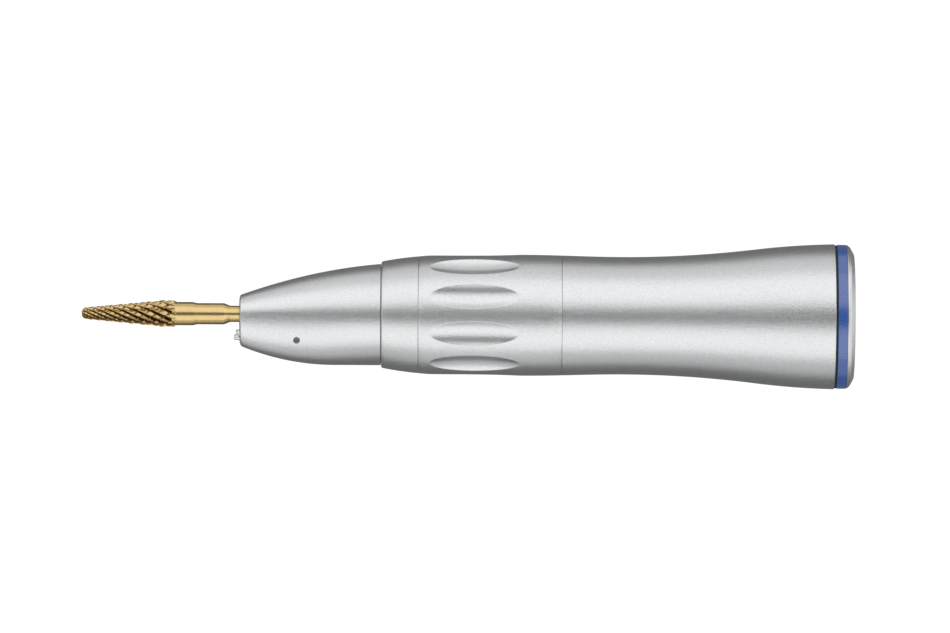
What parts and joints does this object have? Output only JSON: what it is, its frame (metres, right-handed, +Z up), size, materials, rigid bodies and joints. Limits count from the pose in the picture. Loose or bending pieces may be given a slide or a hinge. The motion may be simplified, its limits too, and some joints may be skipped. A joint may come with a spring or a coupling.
{
  "type": "straight dental handpiece",
  "caption": "Straight dental handpiece with a bulged nose, spray nozzle, fluted twist-grip chuck ring, long-shank bur and a rear motor socket.",
  "frame": {"origin": "on the main axis, in the plane of the rear end face, where the drive motor meets the handpiece", "axes": "+X along the main axis towards the motor, so the nose and bur point to -X; +Z up, with the bulged side of the nose and its spray nozzle pointing down (-Z)"},
  "size_m": [0.1112, 0.0208, 0.0208],
  "materials": {
    "satin_steel": "bead-blasted satin stainless steel",
    "polished_steel": "polished stainless steel",
    "hardened_steel": "ground hardened steel",
    "gold_cutter": "gold-coloured nitride coating on carbide",
    "blue_anodised": "blue anodised aluminium",
    "black_rubber": "black fluoroelastomer",
    "machined_brass": "turned brass",
    "cage_polymer": "phenolic bearing cage with steel balls"
  },
  "bodies": {
    "housing": {"nose_cone": "satin_steel", "spray_nozzle": "polished_steel", "water_tube": "polished_steel", "air_tube": "polished_steel", "nose_seal": "black_rubber", "bearing_retainer": "hardened_steel", "front_outer_race": "polished_steel", "rear_outer_race": "polished_steel", "frame_tube": "hardened_steel", "front_collar": "satin_steel", "front_oring": "black_rubber", "rear_oring": "black_rubber", "detent_ball": "polished_steel", "detent_spring": "hardened_steel", "bearing_carrier": "machined_brass", "preload_washer": "polished_steel", "socket_plate": "machined_brass", "water_ferrule": "black_rubber", "air_ferrule": "black_rubber", "coupling_sleeve": "polished_steel", "rear_body": "satin_steel", "rear_seal": "black_rubber", "mark_ring": "blue_anodised", "end_ring": "satin_steel"},
    "grip": {"grip_ring": "satin_steel", "cam_sleeve": "hardened_steel"},
    "slider": {"slider_sleeve": "hardened_steel", "guide_pin_1": "polished_steel", "guide_pin_2": "polished_steel"},
    "spindle": {"spindle": "hardened_steel", "rear_shaft": "hardened_steel", "front_inner_race": "polished_steel", "rear_inner_race": "polished_steel", "bearing_nut": "hardened_steel", "drive_dog": "hardened_steel", "dog_pin": "polished_steel", "chuck_spring": "polished_steel"},
    "front_cage": {"front_ball_set": "cage_polymer"},
    "rear_cage": {"rear_ball_set": "cage_polymer"},
    "chuck": {"collet": "hardened_steel", "drawbar": "hardened_steel", "cross_pin": "polished_steel", "release_ring": "machined_brass"},
    "bur": {"bur_head": "gold_cutter", "bur_shank": "polished_steel"}
  },
  "joints": [
    {"name": "grip_turn", "type": "hinge", "parent": "housing", "child": "grip", "pos_m": [-0.0524, 0, 0], "axis": [1, 0, 0], "range_deg": [0, 45]},
    {"name": "slider_travel", "type": "slide", "parent": "housing", "child": "slider", "axis": [-1, 0, 0], "range_m": [0, 0.0012]},
    {"name": "spindle_spin", "type": "hinge", "parent": "housing", "child": "spindle", "pos_m": [-0.05, 0, 0], "axis": [1, 0, 0], "continuous": true},
    {"name": "front_cage_spin", "type": "hinge", "parent": "housing", "child": "front_cage", "pos_m": [-0.079, 0, 0], "axis": [1, 0, 0], "continuous": true},
    {"name": "rear_cage_spin", "type": "hinge", "parent": "housing", "child": "rear_cage", "pos_m": [-0.0264, 0, 0], "axis": [1, 0, 0], "continuous": true},
    {"name": "chuck_travel", "type": "slide", "parent": "spindle", "child": "chuck", "axis": [-1, 0, 0], "range_m": [0, 0.0008]},
    {"name": "bur_draw", "type": "slide", "parent": "chuck", "child": "bur", "axis": [-1, 0, 0], "range_m": [0, 0.02]}
  ],
  "couplings": [
    {"joint": "slider_travel", "follows": "grip_turn", "m_per_rad": 0.0015279},
    {"joint": "chuck_travel", "follows": "grip_turn", "m_per_rad": 0.0010186},
    {"joint": "front_cage_spin", "follows": "spindle_spin", "ratio": 0.4167},
    {"joint": "rear_cage_spin", "follows": "spindle_spin", "ratio": 0.4167}
  ]
}
